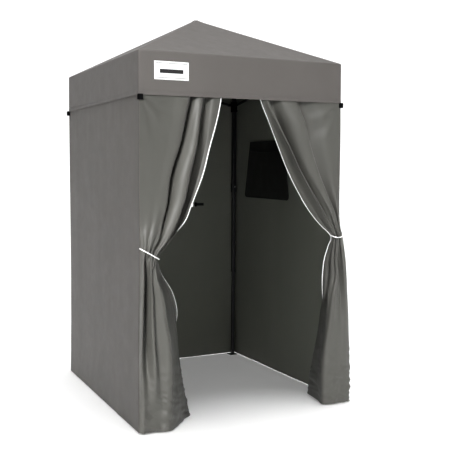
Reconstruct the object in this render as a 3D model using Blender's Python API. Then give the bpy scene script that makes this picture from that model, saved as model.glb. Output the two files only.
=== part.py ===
"""Pop-up square play tent on a folding frame: metres, +Z up, door towards -Y, origin on the floor at the centre."""

import math

import bmesh
import bpy
from mathutils import Matrix, Vector

# --- frame layout (metres) ---
LEG = 0.588  # leg centre from the tent's centre plane, in X and in Y
TUBE_Z_TOP = 1.914
PIN_OUT = 0.044  # scissor pin from the leg centre
TOP_PIN_Z = 1.895
SCISSOR_TILT = math.radians(11.0)
BAR_H = 0.015
BAR_T = 0.008
LAYER = 0.0045  # each bar's middle from the plane between two bars
PIN_R = 0.0025
HOLE_R = 0.0028
HEAD_R = 0.005
HEAD_H = 0.0012

SCISSOR = (LEG - PIN_OUT) / math.cos(SCISSOR_TILT)
LOW_PIN_Z = TOP_PIN_Z - SCISSOR * math.sin(SCISSOR_TILT)

RAFTER_PIN_OUT = 0.036  # rafter pin from the leg centre, on the diagonal
HUB_PIN_OUT = 0.030
RAFTER_PIN_Z = 1.893
HUB_PIN_Z = 2.150
RAFTER_KINK = math.radians(7.0)  # the knee hangs this much below a straight rafter

# --- legs ---
OUTER = 0.026
OUTER_WALL = 0.0014
OUTER_Z = 1.176
MIDDLE = 0.0224
MIDDLE_WALL = 0.0014
MIDDLE_Z = (0.600, 1.277)
INNER = 0.0188
INNER_WALL = 0.0014
INNER_Z = (0.002, 0.745)
COLLAR = 0.030
COLLAR_H = 0.060
BUTTON_Z = 1.213
SLIDER = 0.034
SLIDER_BORE = 0.027
SLIDER_ABOVE_PIN = 0.023
SLIDER_H = 0.070
FOOT = 0.056
FOOT_INSET = 0.010  # the plate sits towards the inside, clear of the walls as the pole shortens
FOOT_T = 0.003

# --- fabric ---
HALF = 0.610  # valance face from the centre plane
EAVE_Z = 1.924
VALANCE_Z = 1.706
PEAK_Z = 2.215
PEAK_FLAT = 0.020
CANOPY_T = 0.0015
WALL_T = 0.0012
WALL_FACE = 0.6082
WALL_FLARE = 0.009
WALL_TOP_Z = 1.914
HEM_Z = 0.010
CURTAIN_T = 0.0015
CORD_R = 0.0035

BLACK_METAL = (0.025, 0.025, 0.027)
BLACK_PLASTIC = (0.018, 0.018, 0.020)

CORNERS = (("back_right", 0), ("back_left", 90), ("front_left", 180), ("front_right", 270))


def clear_scene():
    for obj in list(bpy.data.objects):
        bpy.data.objects.remove(obj, do_unlink=True)
    for mesh in list(bpy.data.meshes):
        bpy.data.meshes.remove(mesh)
    for material in list(bpy.data.materials):
        bpy.data.materials.remove(material)


def material_for(name, colour, roughness, metallic=0.0):
    material = bpy.data.materials.new(name)
    material.use_nodes = True
    shader = material.node_tree.nodes["Principled BSDF"]
    shader.inputs["Base Color"].default_value = (*colour, 1.0)
    shader.inputs["Roughness"].default_value = roughness
    shader.inputs["Metallic"].default_value = metallic
    material.diffuse_color = (*colour, 1.0)
    return material


def mesh_from(bm, name):
    bmesh.ops.remove_doubles(bm, verts=bm.verts, dist=1e-7)
    bmesh.ops.recalc_face_normals(bm, faces=bm.faces)
    mesh = bpy.data.meshes.new(name)
    bm.to_mesh(mesh)
    bm.free()
    return mesh


def joined(name, first, others, operation="UNION"):
    """One mesh from several, by exact booleans done in order."""
    target = bpy.data.objects.new(name, first)
    bpy.context.scene.collection.objects.link(target)
    for mesh in others:
        cutter = bpy.data.objects.new("cutter", mesh)
        bpy.context.scene.collection.objects.link(cutter)
        modifier = target.modifiers.new("Boolean", "BOOLEAN")
        modifier.operation = operation
        modifier.solver = "EXACT"
        modifier.object = cutter
        bpy.context.view_layer.update()
        graph = bpy.context.evaluated_depsgraph_get()
        result = bpy.data.meshes.new_from_object(target.evaluated_get(graph))
        target.modifiers.clear()
        target.data = result
        bpy.data.objects.remove(cutter, do_unlink=True)
    result = target.data
    bpy.data.objects.remove(target, do_unlink=True)
    return result


def prism(outline, low, high, axes=None):
    """Closed prism: outline in (u, v), extruded along w, placed by the 4x4 matrix axes."""
    bm = bmesh.new()
    bottom = [bm.verts.new((u, v, low)) for u, v in outline]
    top = [bm.verts.new((u, v, high)) for u, v in outline]
    bm.faces.new(bottom)
    bm.faces.new(top)
    for i in range(len(outline)):
        j = (i + 1) % len(outline)
        bm.faces.new((bottom[i], bottom[j], top[j], top[i]))
    if axes is not None:
        bmesh.ops.transform(bm, matrix=axes, verts=bm.verts)
    return mesh_from(bm, "prism")


def square(side, radius=0.0, steps=3, centre=(0.0, 0.0)):
    half = side / 2 - radius
    if radius == 0.0:
        return [(centre[0] + sx * half, centre[1] + sy * half) for sx, sy in ((-1, -1), (1, -1), (1, 1), (-1, 1))]
    points = []
    for quarter, (sx, sy) in enumerate(((1, 1), (-1, 1), (-1, -1), (1, -1))):
        for step in range(steps + 1):
            angle = math.radians(90 * quarter + 90 * step / steps)
            points.append(
                (
                    centre[0] + sx * half + radius * math.cos(angle),
                    centre[1] + sy * half + radius * math.sin(angle),
                )
            )
    return points


def circle(radius, steps=16, centre=(0.0, 0.0)):
    turns = [2 * math.pi * i / steps for i in range(steps)]
    return [(centre[0] + radius * math.cos(t), centre[1] + radius * math.sin(t)) for t in turns]


def stadium(length, width, steps=6):
    """Flat bar outline between two pins on the u axis, round at both ends."""
    points = []
    for i in range(steps + 1):
        angle = -math.pi / 2 + math.pi * i / steps
        points.append((length + width / 2 * math.cos(angle), width / 2 * math.sin(angle)))
    for i in range(steps + 1):
        angle = math.pi / 2 + math.pi * i / steps
        points.append((width / 2 * math.cos(angle), width / 2 * math.sin(angle)))
    return points


def ring_tube(outside, inside, low, high):
    """Square tube between two outlines with the same number of points."""
    bm = bmesh.new()
    rings = []
    for outline, z in ((outside, low), (outside, high), (inside, high), (inside, low)):
        rings.append([bm.verts.new((x, y, z)) for x, y in outline])
    count = len(outside)
    for a in range(4):
        first = rings[a]
        second = rings[(a + 1) % 4]
        for i in range(count):
            j = (i + 1) % count
            bm.faces.new((first[i], first[j], second[j], second[i]))
    return mesh_from(bm, "tube")


def frame_axes(origin, along, lateral):
    """Matrix taking (u, v, w) to along, up-ish and lateral directions at origin."""
    u = Vector(along).normalized()
    w = Vector(lateral).normalized()
    v = w.cross(u)
    columns = Matrix((u, v, w)).transposed().to_4x4()
    return Matrix.Translation(Vector(origin)) @ columns


def pin(axes, at, low, high, head_at_high=True, head_at_low=False):
    """Round pin along w with low domed heads, as one closed mesh."""
    profile = []
    if head_at_low:
        profile += [(low - HEAD_H, 0.6 * HEAD_R), (low - HEAD_H * 0.4, HEAD_R), (low, HEAD_R), (low, PIN_R)]
    else:
        profile += [(low, PIN_R)]
    if head_at_high:
        profile += [(high, PIN_R), (high, HEAD_R), (high + HEAD_H * 0.4, HEAD_R), (high + HEAD_H, 0.6 * HEAD_R)]
    else:
        profile += [(high, PIN_R)]
    bm = bmesh.new()
    steps = 12
    rings = []
    for w, radius in profile:
        turns = [2 * math.pi * i / steps for i in range(steps)]
        rings.append([bm.verts.new((at[0] + radius * math.cos(t), at[1] + radius * math.sin(t), w)) for t in turns])
    for first, second in zip(rings, rings[1:]):
        for i in range(steps):
            j = (i + 1) % steps
            bm.faces.new((first[i], first[j], second[j], second[i]))
    bm.faces.new(rings[0])
    bm.faces.new(rings[-1])
    bmesh.ops.transform(bm, matrix=axes, verts=bm.verts)
    return mesh_from(bm, "pin")


def rivet(axes, at, face, outward):
    """Low domed head sunk slightly into the face it sits on."""
    sink = -0.001 * outward
    bm = bmesh.new()
    steps = 12
    rings = []
    for w, radius in ((face + sink, HEAD_R), (face + outward * HEAD_H * 0.5, HEAD_R), (face + outward * HEAD_H, 0.6 * HEAD_R)):
        turns = [2 * math.pi * i / steps for i in range(steps)]
        rings.append([bm.verts.new((at[0] + radius * math.cos(t), at[1] + radius * math.sin(t), w)) for t in turns])
    for first, second in zip(rings, rings[1:]):
        for i in range(steps):
            j = (i + 1) % steps
            bm.faces.new((first[i], first[j], second[j], second[i]))
    bm.faces.new(rings[0])
    bm.faces.new(rings[-1])
    bmesh.ops.transform(bm, matrix=axes, verts=bm.verts)
    return mesh_from(bm, "rivet")


def flat_bar(axes, length, width, low, high, holes):
    """Round-ended bar with plain round holes through it, made of one outline and its holes."""
    body = prism(stadium(length, width), low, high, axes)
    cutters = [prism(circle(HOLE_R, 12, at), low - 0.001, high + 0.001, axes) for at in holes]
    return joined("bar", body, cutters, "DIFFERENCE")


def place(name, mesh, origin, turn, material, smooth=True):
    """Object with its own copy of the corner's prototype, turned about the tent's centre line."""
    spin = Matrix.Rotation(math.radians(turn), 4, "Z")
    shifted = mesh.copy()
    shifted.transform(Matrix.Translation(-Vector(origin)))
    shifted.name = name
    obj = bpy.data.objects.new(name, shifted)
    obj.location = spin @ Vector(origin)
    obj.rotation_euler = (0.0, 0.0, math.radians(turn))
    bpy.context.scene.collection.objects.link(obj)
    shifted.materials.clear()
    shifted.materials.append(material)
    if smooth:
        shifted.shade_smooth()
        shifted.set_sharp_from_angle(angle=math.radians(35))
    return obj


def run_axes(run, z, tilt):
    """Axes of a scissor bar of the corner at (+LEG, +LEG): run x goes to -X, run y goes to -Y."""
    if run == "x":
        start = (LEG - PIN_OUT, LEG, z)
        along = (-math.cos(tilt), 0.0, -math.sin(tilt))
        lateral = (0.0, 1.0, 0.0)
    else:
        start = (LEG, LEG - PIN_OUT, z)
        along = (0.0, -math.cos(tilt), -math.sin(tilt))
        lateral = (1.0, 0.0, 0.0)
    return frame_axes(start, along, lateral)


def layer_span(side):
    """Span along w of the bar lying on this side (+1 or -1) of the plane between two bars."""
    inner = side * (LAYER - BAR_T / 2)
    outer = side * (LAYER + BAR_T / 2)
    return min(inner, outer), max(inner, outer)


def tongue_span(side):
    inner = side * 0.0005
    outer = side * 0.0075
    return min(inner, outer), max(inner, outer)


def pin_through(axes, at, side):
    """Pin fixed in a tongue on one side, through the bar on the other side, headed beyond it."""
    far = -side * (LAYER + BAR_T / 2 + 0.0003)
    near = side * 0.004
    if far > near:
        return pin(axes, at, near, far, head_at_high=True)
    return pin(axes, at, far, near, head_at_high=False, head_at_low=True)


def upper_bar(run, side):
    axes = run_axes(run, TOP_PIN_Z, SCISSOR_TILT)
    low, high = layer_span(side)
    body = flat_bar(axes, SCISSOR, BAR_H, low, high, [(0.0, 0.0)])
    face = side * (LAYER + BAR_T / 2)
    extras = [
        pin_through(axes, (SCISSOR / 2, 0.0), side),
        rivet(axes, (SCISSOR / 2, 0.0), face, side),
        rivet(axes, (SCISSOR, 0.0), face, side),
    ]
    return joined("upper", body, extras)


def lower_bar(run, side):
    axes = run_axes(run, LOW_PIN_Z, -SCISSOR_TILT)
    low, high = layer_span(side)
    holes = [(0.0, 0.0), (SCISSOR / 2, 0.0)]
    body = flat_bar(axes, SCISSOR, BAR_H, low, high, holes)
    face = side * (LAYER + BAR_T / 2)
    return joined("lower", body, [rivet(axes, (SCISSOR, 0.0), face, side)])


def tongue(run, z, side, reach):
    """Plate from a block on the leg out to its scissor pin."""
    axes = run_axes(run, z, 0.0)
    low, high = tongue_span(side)
    plate = prism(stadium(reach, 0.018), low, high, axes @ Matrix.Translation((-reach, 0.0, 0.0)))
    return [plate, pin_through(axes, (0.0, 0.0), side)]


def diagonal_axes(radius, z, tilt, outward=False):
    """Axes in the vertical plane through the centre line and the corner, w along (-1, 1)."""
    root = math.sqrt(0.5)
    sign = 1.0 if outward else -1.0
    along = (sign * root * math.cos(tilt), sign * root * math.cos(tilt), -math.sin(tilt))
    return frame_axes((radius * root, radius * root, z), along, (-root, root, 0.0))


def top_bracket():
    outside = [(LEG + x, LEG + y) for x, y in square(SLIDER, 0.003)]
    block = prism(outside, TOP_PIN_Z - 0.027, EAVE_Z - 0.004)
    parts = []
    parts += tongue("x", TOP_PIN_Z, -1, PIN_OUT - 0.010)
    parts += tongue("y", TOP_PIN_Z, 1, PIN_OUT - 0.010)
    axes = diagonal_axes(LEG * math.sqrt(2) - RAFTER_PIN_OUT, RAFTER_PIN_Z, 0.0, outward=True)
    low, high = tongue_span(-1)
    parts.append(prism(stadium(0.022, 0.018), low, high, axes))
    parts.append(pin_through(axes, (0.0, 0.0), -1))
    solid = joined("bracket", block, parts)
    bore = prism([(LEG + x, LEG + y) for x, y in square(OUTER + 0.0006, 0.003)], TOP_PIN_Z - 0.030, TUBE_Z_TOP + 0.0003)
    return joined("bracket", solid, [bore], "DIFFERENCE")


def slider():
    low = LOW_PIN_Z + SLIDER_ABOVE_PIN - SLIDER_H
    high = LOW_PIN_Z + SLIDER_ABOVE_PIN
    block = prism([(LEG + x, LEG + y) for x, y in square(SLIDER, 0.003)], low, high)
    grip_low = low + 0.004
    grip = prism([(LEG + x, LEG + y) for x, y in square(SLIDER + 0.0024, 0.003)], grip_low, grip_low + 0.010)
    parts = [grip]
    parts += tongue("x", LOW_PIN_Z, 1, PIN_OUT - 0.010)
    parts += tongue("y", LOW_PIN_Z, -1, PIN_OUT - 0.010)
    solid = joined("slider", block, parts)
    bore = prism([(LEG + x, LEG + y) for x, y in square(SLIDER_BORE, 0.003)], low - 0.001, high + 0.001)
    return joined("slider", solid, [bore], "DIFFERENCE")


def tube(side, wall, low, high):
    outside = [(LEG + x, LEG + y) for x, y in square(side, 0.003)]
    inside = [(LEG + x, LEG + y) for x, y in square(side - 2 * wall, 0.0016)]
    return ring_tube(outside, inside, low, high)


def outer_leg():
    bore = OUTER - 2 * OUTER_WALL
    body = tube(OUTER, OUTER_WALL, OUTER_Z + 0.001, TUBE_Z_TOP)
    collar = prism([(LEG + x, LEG + y) for x, y in square(COLLAR, 0.004)], OUTER_Z, OUTER_Z + COLLAR_H)
    axes = frame_axes((LEG, LEG, BUTTON_Z), (1.0, 0.0, 0.0), (0.0, -1.0, 0.0))
    boss = prism(circle(0.0085, 20), 0.012, 0.0185, axes)
    hole = prism(circle(0.0050, 20), 0.0, 0.020, axes)
    inner = prism([(LEG + x, LEG + y) for x, y in square(bore, 0.0016)], OUTER_Z - 0.001, OUTER_Z + COLLAR_H + 0.01)
    cover = joined("collar", collar, [boss])
    whole = joined("outer", body, [cover])
    return joined("outer", whole, [inner, hole], "DIFFERENCE")


def leg_button():
    axes = frame_axes((LEG, LEG, BUTTON_Z), (1.0, 0.0, 0.0), (0.0, -1.0, 0.0))
    bm = bmesh.new()
    rings = []
    for w, radius in ((0.0142, 0.0047), (0.0205, 0.0047), (0.0216, 0.0040), (0.0220, 0.0022)):
        rings.append([bm.verts.new((x, y, w)) for x, y in circle(radius, 20)])
    for first, second in zip(rings, rings[1:]):
        for i in range(20):
            j = (i + 1) % 20
            bm.faces.new((first[i], first[j], second[j], second[i]))
    bm.faces.new(rings[0])
    bm.faces.new(rings[-1])
    bmesh.ops.transform(bm, matrix=axes, verts=bm.verts)
    return mesh_from(bm, "button")


def middle_leg():
    low, high = MIDDLE_Z
    body = tube(MIDDLE, MIDDLE_WALL, low + 0.001, high)
    collar = prism([(LEG + x, LEG + y) for x, y in square(0.0256, 0.003)], low, low + 0.020)
    bore = prism(
        [(LEG + x, LEG + y) for x, y in square(MIDDLE - 2 * MIDDLE_WALL, 0.0016)], low - 0.001, low + 0.030
    )
    return joined("middle", joined("middle", body, [collar]), [bore], "DIFFERENCE")


def inner_leg():
    body = tube(INNER, INNER_WALL, INNER_Z[0], INNER_Z[1])
    plate = prism(square(FOOT, 0.004, 3, (LEG - FOOT_INSET, LEG - FOOT_INSET)), 0.0, FOOT_T)
    return joined("inner", body, [plate])


RAFTER_RUN = LEG * math.sqrt(2) - RAFTER_PIN_OUT - HUB_PIN_OUT
RAFTER_RISE = HUB_PIN_Z - RAFTER_PIN_Z
RAFTER = math.hypot(RAFTER_RUN, RAFTER_RISE) / 2 / math.cos(RAFTER_KINK)
RAFTER_SLOPE = math.atan2(RAFTER_RISE, RAFTER_RUN)


def inner_rafter():
    axes = diagonal_axes(HUB_PIN_OUT, HUB_PIN_Z, RAFTER_SLOPE + RAFTER_KINK, outward=True)
    low, high = layer_span(-1)
    body = flat_bar(axes, RAFTER, BAR_H, low, high, [(0.0, 0.0)])
    knee = [pin_through(axes, (RAFTER, 0.0), -1), rivet(axes, (RAFTER, 0.0), -LAYER - BAR_T / 2, -1)]
    return joined("inner_rafter", body, knee)


def outer_rafter():
    knee = HUB_PIN_OUT + RAFTER * math.cos(RAFTER_SLOPE + RAFTER_KINK)
    knee_z = HUB_PIN_Z - RAFTER * math.sin(RAFTER_SLOPE + RAFTER_KINK)
    axes = diagonal_axes(knee, knee_z, RAFTER_SLOPE - RAFTER_KINK, outward=True)
    low, high = layer_span(1)
    return flat_bar(axes, RAFTER, BAR_H, low, high, [(0.0, 0.0), (RAFTER, 0.0)]), (knee, knee_z)


def lathe(profile, steps):
    """Closed solid of revolution about Z from (radius, z) pairs; a zero radius is a single point."""
    bm = bmesh.new()
    rings = []
    for radius, z in profile:
        if radius == 0.0:
            rings.append([bm.verts.new((0.0, 0.0, z))])
        else:
            rings.append([bm.verts.new((x, y, z)) for x, y in circle(radius, steps)])
    for first, second in zip(rings, rings[1:]):
        for i in range(steps):
            j = (i + 1) % steps
            if len(first) == 1:
                bm.faces.new((first[0], second[j], second[i]))
            elif len(second) == 1:
                bm.faces.new((first[i], first[j], second[0]))
            else:
                bm.faces.new((first[i], first[j], second[j], second[i]))
    return mesh_from(bm, "lathe")


def hub():
    top = PEAK_Z - 0.0115
    body = lathe(
        [
            (0.0, 2.118),
            (0.012, 2.118),
            (0.018, 2.126),
            (0.018, 2.176),
            (0.012, 2.184),
            (0.012, top - 0.014),
            (0.022, top - 0.006),
            (0.018, top - 0.001),
            (0.0, top),
        ],
        24,
    )
    parts = []
    for turn in (0, 90, 180, 270):
        spin = Matrix.Rotation(math.radians(turn), 4, "Z")
        axes = spin @ diagonal_axes(HUB_PIN_OUT, HUB_PIN_Z, 0.0)
        low, high = tongue_span(1)
        parts.append(prism(stadium(0.020, 0.018), low, high, axes))
        parts.append(pin_through(axes, (0.0, 0.0), 1))
    return joined("hub", body, parts)


def canopy():
    """Roof and valance as one sewn cover, open underneath."""
    bm = bmesh.new()
    lean = (PEAK_Z - EAVE_Z) / HALF
    inner_half = HALF - CANOPY_T
    drop = CANOPY_T * math.sqrt(1 + lean * lean) - CANOPY_T * lean
    rings = []
    for half, z in (
        (inner_half, VALANCE_Z),
        (HALF, VALANCE_Z),
        (HALF, EAVE_Z),
        (PEAK_FLAT, PEAK_Z - PEAK_FLAT * lean),
    ):
        rings.append([bm.verts.new((x, y, z)) for x, y in square(2 * half)])
    inside = []
    for half, z in ((PEAK_FLAT, PEAK_Z - PEAK_FLAT * lean - CANOPY_T * 1.1), (inner_half, EAVE_Z - drop)):
        inside.append([bm.verts.new((x, y, z)) for x, y in square(2 * half)])
    chain = rings + inside
    for first, second in zip(chain, chain[1:] + chain[:1]):
        if first is rings[3]:
            continue
        for i in range(4):
            j = (i + 1) % 4
            bm.faces.new((first[i], first[j], second[j], second[i]))
    bm.faces.new(rings[3])
    bm.faces.new(inside[0])
    return mesh_from(bm, "canopy")


def wall():
    """Back wall: a sheet with a slight outward flare, hemmed just clear of the floor."""
    bm = bmesh.new()
    rows = []
    for z, flare in ((HEM_Z, WALL_FLARE), (VALANCE_Z - 0.01, 0.0), (WALL_TOP_Z, 0.0)):
        face = WALL_FACE + flare
        wide = face - 0.0018
        rows.append(
            [
                bm.verts.new((-wide, face - WALL_T, z)),
                bm.verts.new((wide, face - WALL_T, z)),
                bm.verts.new((wide, face, z)),
                bm.verts.new((-wide, face, z)),
            ]
        )
    for first, second in zip(rows, rows[1:]):
        for i in range(4):
            j = (i + 1) % 4
            bm.faces.new((first[i], first[j], second[j], second[i]))
    bm.faces.new(rows[0])
    bm.faces.new(rows[-1])
    return mesh_from(bm, "wall")


def mix(table, z):
    """Straight-line value between the (z, value) rows of a table listed from high to low."""
    for (z1, v1), (z0, v0) in zip(table, table[1:]):
        if z >= z0:
            share = (z - z0) / (z1 - z0)
            return v0 + (v1 - v0) * share
    return table[-1][1]


def smooth_step(low, high, value):
    share = min(max((value - low) / (high - low), 0.0), 1.0)
    return share * share * (3.0 - 2.0 * share)


# Each curtain hangs from the eave, is tied back to its leg and falls to the floor.
LEFT_EDGE = (
    (WALL_TOP_Z, -0.050),
    (1.706, -0.147),
    (1.437, -0.230),
    (1.200, -0.315),
    (1.048, -0.384),
    (0.930, -0.480),
    (0.885, -0.522),
    (0.830, -0.505),
    (0.600, -0.445),
    (0.300, -0.385),
    (HEM_Z, -0.324),
)
LEFT_OUTER = ((WALL_TOP_Z, -0.6062), (1.00, -0.6062), (0.91, -0.5975), (0.80, -0.608), (HEM_Z, -0.6150))
RIGHT_EDGE = (
    (WALL_TOP_Z, 0.020),
    (1.706, 0.091),
    (1.400, 0.205),
    (1.224, 0.287),
    (1.100, 0.375),
    (1.000, 0.490),
    (0.960, 0.530),
    (0.900, 0.515),
    (0.600, 0.475),
    (0.300, 0.450),
    (HEM_Z, 0.425),
)
RIGHT_OUTER = ((WALL_TOP_Z, 0.6062), (1.06, 0.6062), (0.97, 0.5975), (0.86, 0.6090), (HEM_Z, 0.6420))
PLEAT_DEPTH = ((WALL_TOP_Z, 0.004), (1.700, 0.004), (1.500, 0.016), (0.950, 0.024), (0.600, 0.030), (HEM_Z, 0.034))
FRONT_FLARE = ((WALL_TOP_Z, 0.0), (1.696, 0.0), (0.900, 0.002), (HEM_Z, 0.028))


def curtain(edge, outer, pleats):
    """Pleated sheet between its outer edge at the leg and its free edge at the door."""
    heights = sorted({z for z, _ in edge} | {z for z, _ in outer} | {1.58, 0.45, 0.15}, reverse=True)
    columns = pleats * 6
    bm = bmesh.new()
    front = []
    back = []
    for z in heights:
        x0 = mix(outer, z)
        x1 = mix(edge, z)
        row_f = []
        row_b = []
        for i in range(columns + 1):
            s = i / columns
            x = x0 + (x1 - x0) * s
            clear_of_leg = smooth_step(0.560, 0.535, abs(x))
            wave = 0.5 - 0.5 * math.cos(2 * math.pi * pleats * s)
            y = -WALL_FACE - mix(FRONT_FLARE, z) + mix(PLEAT_DEPTH, z) * wave * clear_of_leg
            row_f.append(bm.verts.new((x, y, z)))
            row_b.append(bm.verts.new((x, y + CURTAIN_T, z)))
        front.append(row_f)
        back.append(row_b)
    for grid in (front, back):
        for upper, lower in zip(grid, grid[1:]):
            for i in range(columns):
                bm.faces.new((upper[i], upper[i + 1], lower[i + 1], lower[i]))
    for r in range(len(heights) - 1):
        for i in (0, columns):
            bm.faces.new((front[r][i], front[r + 1][i], back[r + 1][i], back[r][i]))
    for r in (0, len(heights) - 1):
        for i in range(columns):
            bm.faces.new((front[r][i], front[r][i + 1], back[r][i + 1], back[r][i]))
    return mesh_from(bm, "curtain")


def tieback(side, z_outer, z_inner, reach):
    """Closed cord loop round the leg and the gathered curtain, lower at the door side."""
    near = 0.6050
    front = 0.6165
    back = 0.5620
    corners = [(near, front), (reach, front), (reach, back), (near, back)]
    radius = 0.008
    path = []
    for k, (x, y) in enumerate(corners):
        before = Vector(corners[k - 1])
        here = Vector((x, y))
        after = Vector(corners[(k + 1) % 4])
        start = here + (before - here).normalized() * radius
        finish = here + (after - here).normalized() * radius
        for step in range(5):
            t = step / 4
            point = (1 - t) ** 2 * start + 2 * t * (1 - t) * here + t * t * finish
            share = (near - point.x) / (near - reach)
            path.append(Vector((side * point.x, -point.y, z_outer + (z_inner - z_outer) * share)))
    bm = bmesh.new()
    rings = []
    count = len(path)
    for i in range(count):
        direction = (path[(i + 1) % count] - path[i - 1]).normalized()
        across = direction.cross(Vector((0.0, 0.0, 1.0))).normalized()
        up = across.cross(direction).normalized()
        turns = [2 * math.pi * k / 8 for k in range(8)]
        rings.append([bm.verts.new(path[i] + CORD_R * (math.cos(t) * across + math.sin(t) * up)) for t in turns])
    for i in range(count):
        first = rings[i]
        second = rings[(i + 1) % count]
        for k in range(8):
            m = (k + 1) % 8
            bm.faces.new((first[k], first[m], second[m], second[k]))
    return mesh_from(bm, "tie")


def wall_pocket():
    """Flat pocket on the inside of the right wall, wider at the bottom, corners rounded."""
    corners = [(0.434, 1.150), (0.364, 1.524), (-0.050, 1.524), (-0.112, 1.145)]
    radii = [0.035, 0.012, 0.012, 0.035]
    outline = []
    for k, (y, z) in enumerate(corners):
        here = Vector((y, z))
        before = Vector(corners[k - 1])
        after = Vector(corners[(k + 1) % 4])
        start = here + (before - here).normalized() * radii[k]
        finish = here + (after - here).normalized() * radii[k]
        for step in range(5):
            t = step / 4
            point = (1 - t) ** 2 * start + 2 * t * (1 - t) * here + t * t * finish
            outline.append((point.x, point.y))
    bm = bmesh.new()
    layers = []
    for depth in (0.0003, 0.0023):
        row = []
        for y, z in outline:
            flare = WALL_FLARE * (VALANCE_Z - 0.01 - z) / (VALANCE_Z - 0.01 - HEM_Z)
            row.append(bm.verts.new((WALL_FACE + flare - WALL_T - depth, y, z)))
        layers.append(row)
    count = len(outline)
    bm.faces.new(layers[0])
    bm.faces.new(layers[1])
    for i in range(count):
        j = (i + 1) % count
        bm.faces.new((layers[0][i], layers[0][j], layers[1][j], layers[1][i]))
    return mesh_from(bm, "pocket")


def peak_cap():
    base = PEAK_Z - PEAK_FLAT * (PEAK_Z - EAVE_Z) / HALF + 0.0003
    return lathe(
        [
            (0.0, base),
            (0.0245, base),
            (0.0250, base + 0.004),
            (0.0225, base + 0.0105),
            (0.0150, base + 0.0155),
            (0.0, base + 0.0178),
        ],
        28,
    )


def build_frame():
    scissor = material_for("scissor_bar", BLACK_METAL, 0.45, 0.6)
    prototypes = {
        "bar_x_upper": (upper_bar("x", 1), (LEG - PIN_OUT, LEG, TOP_PIN_Z), scissor),
        "bar_y_upper": (upper_bar("y", -1), (LEG, LEG - PIN_OUT, TOP_PIN_Z), scissor),
    }
    half = SCISSOR / 2 * math.cos(SCISSOR_TILT)
    middle_z = (TOP_PIN_Z + LOW_PIN_Z) / 2
    prototypes["bar_x_lower"] = (lower_bar("x", -1), (LEG - PIN_OUT - half, LEG, middle_z), scissor)
    prototypes["bar_y_lower"] = (lower_bar("y", 1), (LEG, LEG - PIN_OUT - half, middle_z), scissor)
    rafter = material_for("rafter", BLACK_METAL, 0.45, 0.6)
    root = math.sqrt(0.5)
    prototypes["rafter_inner"] = (inner_rafter(), (HUB_PIN_OUT * root, HUB_PIN_OUT * root, HUB_PIN_Z), rafter)
    outer_mesh, (knee, knee_z) = outer_rafter()
    prototypes["rafter_outer"] = (outer_mesh, (knee * root, knee * root, knee_z), rafter)
    leg = material_for("leg_tube", BLACK_METAL, 0.40, 0.7)
    plastic = material_for("bracket", BLACK_PLASTIC, 0.55)
    pin_at = (LEG * math.sqrt(2) - RAFTER_PIN_OUT) * root
    prototypes["top_bracket"] = (top_bracket(), (pin_at, pin_at, RAFTER_PIN_Z), plastic)
    prototypes["leg_outer"] = (outer_leg(), (LEG, LEG, OUTER_Z), leg)
    prototypes["slider"] = (slider(), (LEG - PIN_OUT, LEG, LOW_PIN_Z), plastic)
    prototypes["leg_middle"] = (middle_leg(), (LEG, LEG, MIDDLE_Z[0]), leg)
    prototypes["leg_foot"] = (inner_leg(), (LEG, LEG, 0.0), leg)
    prototypes["leg_button"] = (leg_button(), (LEG, LEG - 0.0142, BUTTON_Z), plastic)
    for corner, turn in CORNERS:
        for stem, (mesh, origin, material) in prototypes.items():
            place(f"{stem}_{corner}", mesh, origin, turn, material)
    place("hub", hub(), (0.0, 0.0, HUB_PIN_Z), 0, plastic)


def build_cover():
    grey = material_for("canopy_fabric", (0.150, 0.146, 0.138), 0.75)
    place("canopy", canopy(), (0.0, 0.0, EAVE_Z), 0, grey, smooth=False)
    sheet = wall()
    wall_grey = material_for("wall_fabric", (0.140, 0.136, 0.126), 0.8)
    for name, turn in (("wall_back", 0), ("wall_left", 90), ("wall_right", 270)):
        place(name, sheet, (0.0, WALL_FACE, WALL_TOP_Z), turn, wall_grey, smooth=False)
    curtain_grey = material_for("curtain_fabric", (0.165, 0.165, 0.150), 0.6)
    place("curtain_left", curtain(LEFT_EDGE, LEFT_OUTER, 7), (-LEG, -WALL_FACE, WALL_TOP_Z), 0, curtain_grey)
    place("curtain_right", curtain(RIGHT_EDGE, RIGHT_OUTER, 7), (LEG, -WALL_FACE, WALL_TOP_Z), 0, curtain_grey)
    cord = material_for("tie_cord", (0.70, 0.70, 0.68), 0.8)
    place("tieback_left", tieback(-1, 0.935, 0.885, 0.512), (-LEG, -LEG, 0.91), 0, cord)
    place("tieback_right", tieback(1, 0.985, 0.960, 0.522), (LEG, -LEG, 0.97), 0, cord)
    black = material_for("pocket_fabric", (0.012, 0.012, 0.012), 0.85)
    place("wall_pocket", wall_pocket(), (WALL_FACE, 0.16, 1.33), 0, black, smooth=False)
    cap = material_for("peak_cap", (0.10, 0.10, 0.10), 0.5)
    place("peak_cap", peak_cap(), (0.0, 0.0, PEAK_Z), 0, cap)


def drop_prototypes():
    for mesh in list(bpy.data.meshes):
        if mesh.users == 0:
            bpy.data.meshes.remove(mesh)


clear_scene()
build_frame()
build_cover()
drop_prototypes()
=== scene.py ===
"""Looks of the pop-up square tent: cover, walls, tied-back door curtains, materials, light and camera.

Metres, +Z up, door towards -Y, origin on the floor at the centre. Fabric rides on the legs and rafters; each
piece stands for the plain CAD solid that it replaces.
"""

import math

import bpy
import numpy as np
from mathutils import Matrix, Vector, noise


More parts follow.
